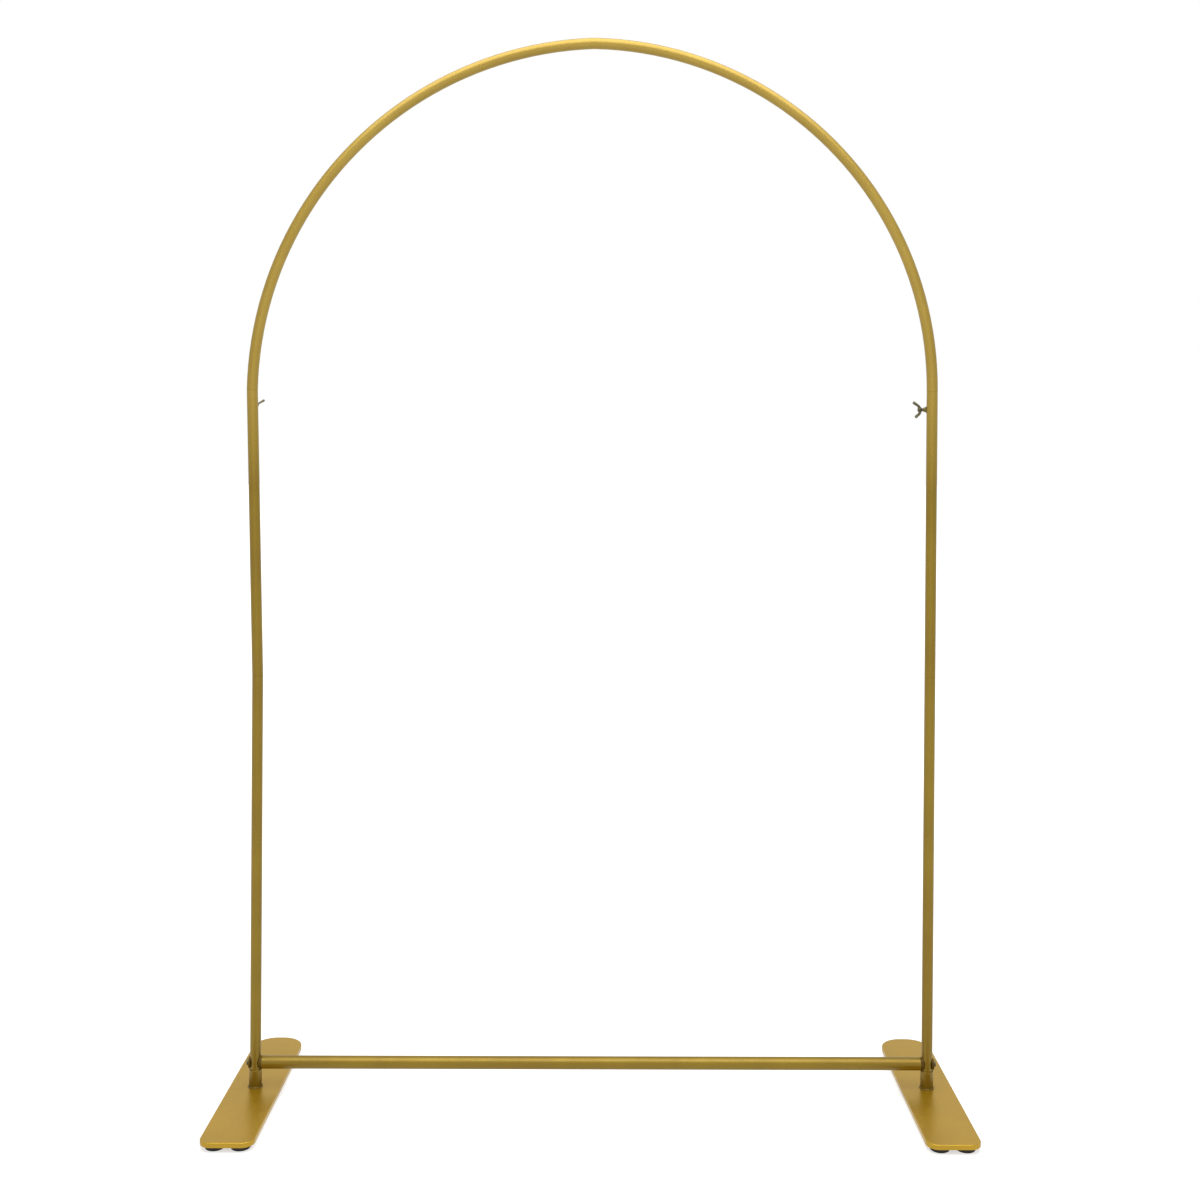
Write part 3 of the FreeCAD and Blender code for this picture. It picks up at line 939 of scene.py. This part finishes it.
class ARCHSTAND_OT_coat_fittings(bpy.types.Operator):
    """Coat the crossbar's end pieces in plastic and make the finishes of the small parts"""

    bl_idname = "arch_stand.coat_fittings"
    bl_label = "Coat Fittings"

    def execute(self, context):
        look = context.scene.arch_stand_finishes
        dark_zinc(look)
        moulded(
            "black_rubber",
            look.rubber,
            low_roughness=0.7,
            high_roughness=0.85,
            grain_scale=900,
            grain_depth=0.06,
            gloss=0.02,
        )
        plastic = moulded(
            "black_plastic",
            look.plastic,
            low_roughness=0.4,
            high_roughness=0.52,
            grain_scale=1300,
            grain_depth=0.03,
            gloss=0.12,
        )
        coat_nodes(plastic, "crossbar_plug_", "outer_saddle_")
        return {"FINISHED"}


# The bead at a socket's foot: the radius of its ring, how far its middle lies over the plate,
# how many ripples it has, and the seeds of their heights.
SOCKET_WELD_RING = 11.75 * MM
SOCKET_WELD_LIFT = 0.5 * MM
SOCKET_WELD_RIPPLES = 34
WELD_SEEDS = {"left": 2, "right": 4}


class ARCHSTAND_OT_lay_welds(bpy.types.Operator):
    """Lay a rippled weld bead round the foot of each socket"""

    bl_idname = "arch_stand.lay_welds"
    bl_label = "Lay Welds"

    def execute(self, context):
        sizes = context.scene.arch_stand_sizes
        paint = finish_named("gold_weld_paint_shaded")
        for side_name, seed in WELD_SEEDS.items():
            low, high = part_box(f"post_socket_{side_name}")
            bead = weld_bead(
                f"socket_weld_{side_name}",
                SOCKET_WELD_RING,
                sizes.socket_weld_radius,
                SOCKET_WELD_RIPPLES,
                sizes.weld_ripple,
                seed,
            )
            middle = (low.x + high.x) / 2
            move_to(bead, Matrix.Translation((middle, 0, low.z + SOCKET_WELD_LIFT)))
            hand_over(bead, paint, "gold_tube", STAND_BODY)
        return {"FINISHED"}


class ARCHSTAND_OT_make_wing_screws(bpy.types.Operator):
    """Model the two cast wing screws with their threads"""

    bl_idname = "arch_stand.make_wing_screws"
    bl_label = "Make Wing Screws"

    def execute(self, context):
        sizes = context.scene.arch_stand_sizes
        turns = {"left": sizes.left_wing_turn, "right": sizes.right_wing_turn}
        zinc = finish_named("dark_zinc")
        tip = -sizes.screw_depth
        hub = wing_hub("wing_screw_hub", sizes)
        hub_middle = sizes.hub_gap + sizes.hub_length / 2
        shank = threaded_shank(
            "wing_screw_shank", sizes.screw_radius, sizes.thread_pitch, tip, hub_middle
        )
        first = join([hub, shank], "cast_wing_screw_left")
        second = own_copy(first, "cast_wing_screw_right")
        for piece, side_name in ((first, "left"), (second, "right")):
            node = f"wing_screw_{side_name}"
            move_to(piece, screw_frame(side_name, turns[side_name]))
            hand_over(piece, zinc, "dark_fastener", node, node)
        return {"FINISHED"}


# A bolt head is a hexagon cut by a cone, which widens by this slope over its height.
HEXAGON_SIDES = 6
CHAMFER_SIDES = 96
CHAMFER_SLOPE = math.tan(math.radians(60))
# The rounding of the head's edges, and the angle from which an edge is rounded.
BOLT_EDGE_WIDTH = 0.12 * MM
BOLT_EDGE_ANGLE = math.radians(20)


def hexagon_bolt(name, corner, head_height, length, sizes):
    """A hexagonal bolt with its head up along Z and its seat at the origin."""
    bpy.ops.object.select_all(action="DESELECT")
    bpy.ops.mesh.primitive_cylinder_add(
        vertices=HEXAGON_SIDES,
        radius=corner,
        depth=head_height,
        location=(0, 0, head_height / 2),
        rotation=(0, 0, math.pi / HEXAGON_SIDES),
    )
    head = named(name)
    apply_place(head)
    flats = corner * math.cos(math.pi / HEXAGON_SIDES)
    face_radius = flats - sizes.bolt_chamfer
    bpy.ops.object.select_all(action="DESELECT")
    bpy.ops.mesh.primitive_cone_add(
        vertices=CHAMFER_SIDES,
        radius1=face_radius + head_height * CHAMFER_SLOPE,
        radius2=face_radius,
        depth=head_height,
        location=(0, 0, head_height / 2),
    )
    cone = named("bolt_head_cone")
    apply_place(cone)
    finish_with(head, "BOOLEAN", object=cone, operation="INTERSECT", solver="EXACT")
    bpy.data.objects.remove(cone)
    finish_with(
        head,
        "BEVEL",
        width=BOLT_EDGE_WIDTH,
        segments=2,
        limit_method="ANGLE",
        angle_limit=BOLT_EDGE_ANGLE,
    )
    smooth(head, CREASE_ANGLE)
    shank = threaded_shank(
        "bolt_shank", sizes.screw_radius, sizes.thread_pitch, -length, head_height / 2
    )
    return join([head, shank], name)


class ARCHSTAND_OT_make_bolts(bpy.types.Operator):
    """Model the hexagonal bolts at the crossbar's ends"""

    bl_idname = "arch_stand.make_bolts"
    bl_label = "Make Bolts"

    def execute(self, context):
        sizes = context.scene.arch_stand_sizes
        zinc = finish_named("dark_zinc")
        for side_name, side in SIDES.items():
            node = f"crossbar_bolt_{side_name}"
            low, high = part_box(node)
            washer_low, washer_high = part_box(f"outer_saddle_{side_name}")
            outer = high.x if side > 0 else low.x
            inner = low.x if side > 0 else high.x
            seat = washer_high.x if side > 0 else washer_low.x
            head_height = abs(outer - seat)
            corner = (high.z - low.z) / 2
            bolt = hexagon_bolt(
                f"hex_bolt_{side_name}", corner, head_height, abs(seat - inner), sizes
            )
            middle = (low.z + high.z) / 2
            turned = Matrix.Rotation(side * math.pi / 2, 4, "Y")
            move_to(bolt, Matrix.Translation((seat, 0, middle)) @ turned)
            hand_over(bolt, zinc, "dark_fastener", STAND_BODY, node)
        return {"FINISHED"}


# How finely a foot is divided round its axis.
FOOT_SIDES = 72
# The foot's tread, from its rim in to its middle: the flat rim, a hollow behind it with a flat
# floor, and a low round pad.
TREAD_RIM_WIDTH = 4.5 * MM
HOLLOW_WALL_WIDTH = 0.6 * MM
HOLLOW_DEPTH = 1.4 * MM
HOLLOW_FLOOR_WIDTH = 5.0 * MM
PAD_WALL_WIDTH = 0.4 * MM
PAD_HEIGHT = 0.8 * MM
# The rounding of the upper rim, against the plate.
UPPER_RIM = 0.5 * MM
# How near an edge lies to a rim's level and radius, to count as part of the rim.
LEVEL_NEARNESS = 0.01 * MM
RIM_NEARNESS = 0.05 * MM


def rubber_foot(name, node, sizes):
    """A round foot over the origin, as wide and high as its CAD node."""
    low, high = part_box(node)
    radius = (high.x - low.x) / 2
    height = high.z - low.z
    bpy.ops.object.select_all(action="DESELECT")
    bpy.ops.mesh.primitive_cylinder_add(
        vertices=FOOT_SIDES, radius=radius, depth=height, location=(0, 0, height / 2)
    )
    foot = named(name)
    apply_place(foot)
    edit(foot)
    pick_faces(foot, faces_down)
    rim = radius - sizes.foot_taper
    bpy.ops.transform.resize(
        value=(rim / radius, rim / radius, 1), center_override=(0, 0, 0)
    )
    bpy.ops.mesh.inset(thickness=TREAD_RIM_WIDTH, depth=0)
    bpy.ops.mesh.inset(thickness=HOLLOW_WALL_WIDTH, depth=-HOLLOW_DEPTH)
    bpy.ops.mesh.inset(thickness=HOLLOW_FLOOR_WIDTH, depth=0)
    bpy.ops.mesh.inset(thickness=PAD_WALL_WIDTH, depth=PAD_HEIGHT)
    close_edit()
    edit(foot)

    def on_lower_rim(first, second):
        return all(
            place.z < LEVEL_NEARNESS
            and abs(math.hypot(place.x, place.y) - rim) < RIM_NEARNESS
            for place in (first, second)
        )

    pick_edges(foot, on_lower_rim)
    bpy.ops.mesh.bevel(offset=sizes.foot_rim, segments=6, profile=0.5, affect="EDGES")

    def on_upper_rim(first, second):
        return all(
            place.z > height - LEVEL_NEARNESS
            and math.hypot(place.x, place.y) > radius - RIM_NEARNESS
            for place in (first, second)
        )

    pick_edges(foot, on_upper_rim)
    bpy.ops.mesh.bevel(offset=UPPER_RIM, segments=3, profile=0.5, affect="EDGES")
    close_edit()
    smooth(foot, CREASE_ANGLE)
    return foot


class ARCHSTAND_OT_mould_feet(bpy.types.Operator):
    """Mould the eight rubber feet with a rounded rim and a hollow tread"""

    bl_idname = "arch_stand.mould_feet"
    bl_label = "Mould Feet"

    def execute(self, context):
        sizes = context.scene.arch_stand_sizes
        rubber = finish_named("black_rubber")
        nodes = sorted(name for name in frame["nodes"] if name.startswith("foot_"))
        pattern = rubber_foot("moulded_foot", nodes[0], sizes)
        for node in nodes:
            low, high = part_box(node)
            foot = own_copy(pattern, node.replace("foot_", "moulded_foot_"))
            centre = (low + high) / 2
            move_to(foot, Matrix.Translation((centre.x, centre.y, low.z)))
            hand_over(foot, rubber, "black_rubber", STAND_BODY, node)
        bpy.data.objects.remove(pattern)
        return {"FINISHED"}


def shown_to_camera(tree):
    """One where a ray comes from the camera, a gloss or a transmission, else zero."""
    path = tree.nodes.new("ShaderNodeLightPath")
    total = path.outputs["Is Camera Ray"]
    for ray in ("Is Glossy Ray", "Is Transmission Ray"):
        either = tree.nodes.new("ShaderNodeMath")
        either.operation = "MAXIMUM"
        tree.links.new(total, either.inputs[0])
        tree.links.new(path.outputs[ray], either.inputs[1])
        total = either.outputs["Value"]
    return total


WHITE = (1, 1, 1, 1)


def white_room(world, ambient):
    """A plain white room that lights the stand only gently."""
    world.use_nodes = True
    tree = world.node_tree
    tree.nodes.clear()
    output = tree.nodes.new("ShaderNodeOutputWorld")
    mix = tree.nodes.new("ShaderNodeMixShader")
    light = tree.nodes.new("ShaderNodeBackground")
    light.inputs["Color"].default_value = WHITE
    light.inputs["Strength"].default_value = ambient
    white = tree.nodes.new("ShaderNodeBackground")
    white.inputs["Color"].default_value = WHITE
    white.inputs["Strength"].default_value = 1
    tree.links.new(shown_to_camera(tree), mix.inputs["Fac"])
    tree.links.new(light.outputs["Background"], mix.inputs[1])
    tree.links.new(white.outputs["Background"], mix.inputs[2])
    tree.links.new(mix.outputs["Shader"], output.inputs["Surface"])


# The floor's side in metres, and its grey.
FLOOR_SIZE = 80
FLOOR_GREY = (0.55, 0.55, 0.55, 1)
# The floor's own glow under the stand and far from it, and the distances in metres between
# which it grows.
GLOW_NEAR = 0.6
GLOW_FAR = 1.0
FADE_START = 1.0
FADE_END = 3.0


def pale_floor_finish():
    """A pale floor that fades into the white room and keeps a soft shadow near the stand."""
    finish = bpy.data.materials.new("pale_floor")
    finish.use_nodes = True
    tree = finish.node_tree
    tree.nodes.clear()
    output = tree.nodes.new("ShaderNodeOutputMaterial")
    diffuse = tree.nodes.new("ShaderNodeBsdfDiffuse")
    diffuse.inputs["Color"].default_value = FLOOR_GREY
    glow = tree.nodes.new("ShaderNodeEmission")
    distance = tree.nodes.new("ShaderNodeVectorMath")
    distance.operation = "LENGTH"
    tree.links.new(object_place(tree), distance.inputs[0])
    away = distance.outputs["Value"]
    fade = spread(tree, away, GLOW_NEAR, GLOW_FAR, FADE_START, FADE_END)
    tree.links.new(fade, glow.inputs["Strength"])
    both = tree.nodes.new("ShaderNodeAddShader")
    tree.links.new(diffuse.outputs["BSDF"], both.inputs[0])
    tree.links.new(glow.outputs["Emission"], both.inputs[1])
    mix = tree.nodes.new("ShaderNodeMixShader")
    tree.links.new(shown_to_camera(tree), mix.inputs["Fac"])
    tree.links.new(diffuse.outputs["BSDF"], mix.inputs[1])
    tree.links.new(both.outputs["Shader"], mix.inputs[2])
    tree.links.new(mix.outputs["Shader"], output.inputs["Surface"])
    return finish


def soft_lamp(name, place, target, size, power):
    """A square soft lamp that faces a point."""
    bpy.ops.object.select_all(action="DESELECT")
    bpy.ops.object.light_add(type="AREA", location=place)
    lamp = named(name)
    lamp.data.shape = "SQUARE"
    lamp.data.size = size
    lamp.data.energy = power
    lamp.rotation_euler = (Vector(target) - Vector(place)).to_track_quat("-Z", "Y").to_euler()
    return lamp


# Where each lamp hangs, the point that it faces and the side of its square, in metres.
KEY_LAMP_PLACE = (0, -1.0, 3.25)
KEY_LAMP_TARGET = (0, -0.4, 0)
KEY_LAMP_SIZE = 3.4
FILL_LAMP_PLACE = (0, -3.0, 1.3)
FILL_LAMP_TARGET = (0, 0, 0.9)
FILL_LAMP_SIZE = 2.0


class ARCHSTAND_OT_set_studio(bpy.types.Operator):
    """Set the floor, the white room, the lamps and the camera"""

    bl_idname = "arch_stand.set_studio"
    bl_label = "Set Studio"

    def execute(self, context):
        studio = context.scene.arch_stand_studio
        bpy.ops.object.select_all(action="DESELECT")
        bpy.ops.mesh.primitive_plane_add(size=FLOOR_SIZE)
        floor = named("floor")
        coat(floor, pale_floor_finish())
        world = context.scene.world or bpy.data.worlds.new("white_room")
        context.scene.world = world
        white_room(world, studio.ambient)
        soft_lamp(
            "key_lamp", KEY_LAMP_PLACE, KEY_LAMP_TARGET, KEY_LAMP_SIZE, studio.key_power
        )
        soft_lamp(
            "fill_lamp", FILL_LAMP_PLACE, FILL_LAMP_TARGET, FILL_LAMP_SIZE, studio.fill_power
        )
        bpy.ops.object.select_all(action="DESELECT")
        bpy.ops.object.camera_add()
        camera = named("photo_camera")
        camera.data.lens = studio.lens
        camera.data.shift_y = studio.vertical_shift
        place = Vector((studio.camera_aside, -studio.camera_distance, studio.camera_height))
        camera.matrix_world = (
            Matrix.Translation(place)
            @ Matrix.Rotation(math.pi / 2 - studio.camera_pitch, 4, "X")
            @ Matrix.Rotation(studio.camera_roll, 4, "Z")
        )
        context.scene.camera = camera
        context.scene.view_settings.view_transform = "Standard"
        return {"FINISHED"}


class ARCHSTAND_PT_sidebar(bpy.types.Panel):
    """Lists the stand's settings and steps"""

    bl_idname = "ARCHSTAND_PT_sidebar"
    bl_label = "Balloon Arch Stand"
    bl_space_type = "VIEW_3D"
    bl_region_type = "UI"
    bl_category = "Arch Stand"

    def draw(self, context):
        scene = context.scene
        for group in (scene.arch_stand_finishes, scene.arch_stand_sizes, scene.arch_stand_studio):
            box = self.layout.box()
            for name in group.__annotations__:
                box.prop(group, name)
        for step in STEPS:
            self.layout.operator(step.bl_idname)


STEPS = (
    ARCHSTAND_OT_paint_steel,
    ARCHSTAND_OT_coat_fittings,
    ARCHSTAND_OT_lay_welds,
    ARCHSTAND_OT_make_wing_screws,
    ARCHSTAND_OT_make_bolts,
    ARCHSTAND_OT_mould_feet,
    ARCHSTAND_OT_set_studio,
)
GROUPS = (ArchStandFinishes, ArchStandSizes, ArchStandStudio)


def register():
    """Makes the stand's settings, steps and panel known."""
    for item in GROUPS + STEPS + (ARCHSTAND_PT_sidebar,):
        bpy.utils.register_class(item)
    bpy.types.Scene.arch_stand_finishes = bpy.props.PointerProperty(type=ArchStandFinishes)
    bpy.types.Scene.arch_stand_sizes = bpy.props.PointerProperty(type=ArchStandSizes)
    bpy.types.Scene.arch_stand_studio = bpy.props.PointerProperty(type=ArchStandStudio)


def unregister():
    """Takes them all away again, in the opposite order."""
    del bpy.types.Scene.arch_stand_studio
    del bpy.types.Scene.arch_stand_sizes
    del bpy.types.Scene.arch_stand_finishes
    for item in reversed(GROUPS + STEPS + (ARCHSTAND_PT_sidebar,)):
        bpy.utils.unregister_class(item)


def main():
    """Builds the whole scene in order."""
    register()
    bpy.ops.arch_stand.paint_steel()
    bpy.ops.arch_stand.coat_fittings()
    bpy.ops.arch_stand.lay_welds()
    bpy.ops.arch_stand.make_wing_screws()
    bpy.ops.arch_stand.make_bolts()
    bpy.ops.arch_stand.mould_feet()
    bpy.ops.arch_stand.set_studio()


if __name__ == "__main__":
    main()
